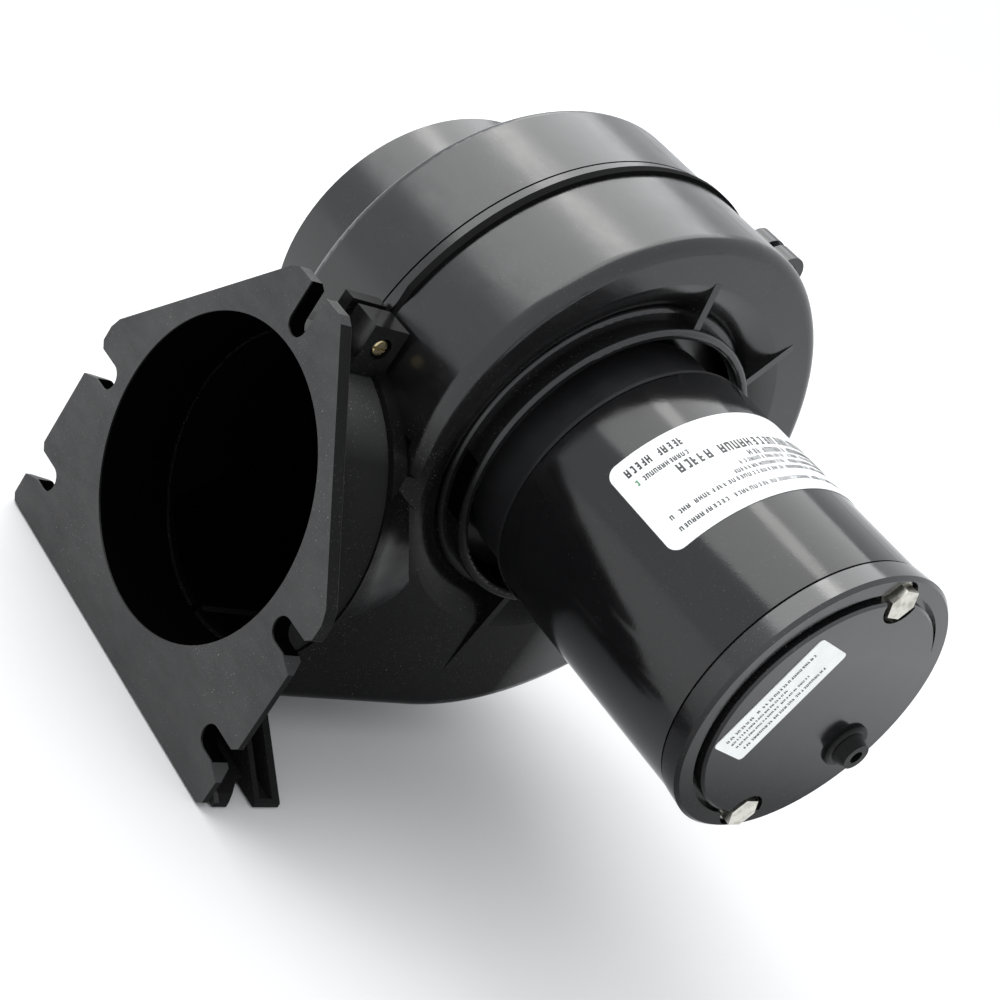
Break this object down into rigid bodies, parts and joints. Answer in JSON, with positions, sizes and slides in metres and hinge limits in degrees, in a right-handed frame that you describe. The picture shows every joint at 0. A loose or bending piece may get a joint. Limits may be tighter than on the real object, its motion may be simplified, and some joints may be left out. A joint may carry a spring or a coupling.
{
  "type": "flange mounted centrifugal blower",
  "caption": "Compact centrifugal blower: scroll housing with a flanged round outlet, a hose collar on the inlet side and a can motor driving the wheel inside.",
  "frame": {"origin": "centre of the outlet bore, on the mounting face of the flange", "axes": "-X out of the outlet bore, -Y along the motor away from the inlet, +Z towards the flange's apex slot"},
  "size_m": [0.1503, 0.1769, 0.1572],
  "materials": {
    "housing": "semi-gloss moulded black",
    "flange": "matte moulded black, dusty",
    "seal": "matte",
    "screw_brass": "plain",
    "wheel": "satin moulded black",
    "hub_metal": "turned",
    "steel": "ground",
    "laminations": "stamped stack",
    "copper": "enamelled copper",
    "bronze": "sintered bronze",
    "end_bell": "black paint on die casting",
    "can_paint": "gloss black paint",
    "magnet": "sintered ferrite",
    "cap_plastic": "gloss black",
    "insulator": "pressed laminate",
    "carbon": "pressed carbon",
    "zinc": "zinc plated",
    "grommet": "moulded",
    "label": "printed film"
  },
  "bodies": {
    "blower": {"front_housing": "housing", "rear_housing": "housing", "housing_gasket": "seal", "outlet_flange": "flange", "lug_screws": "screw_brass", "lug_nuts": "screw_brass", "drive_end_bush": "bronze", "cap_end_bush": "bronze", "drive_end_bell": "end_bell", "motor_can": "can_paint", "field_magnets": "magnet", "end_cap": "cap_plastic", "brush_plate": "insulator", "brush_holders": "screw_brass", "carbon_brushes": "carbon", "brush_springs": "steel", "through_bolts": "zinc", "motor_screws": "steel", "mount_gasket": "seal", "lead_grommet": "grommet", "rating_label": "label", "serial_label": "label"},
    "rotor": {"motor_shaft": "steel", "armature_core": "laminations", "armature_windings": "copper", "commutator": "copper", "impeller_disc": "wheel", "impeller_blades": "wheel", "impeller_ring": "wheel", "impeller_hub": "hub_metal", "hub_set_screw": "steel"}
  },
  "joints": [
    {"name": "rotor_spin", "type": "hinge", "parent": "blower", "child": "rotor", "pos_m": [0.0813, 0, 0.0414], "axis": [0, -1, 0], "continuous": true}
  ]
}
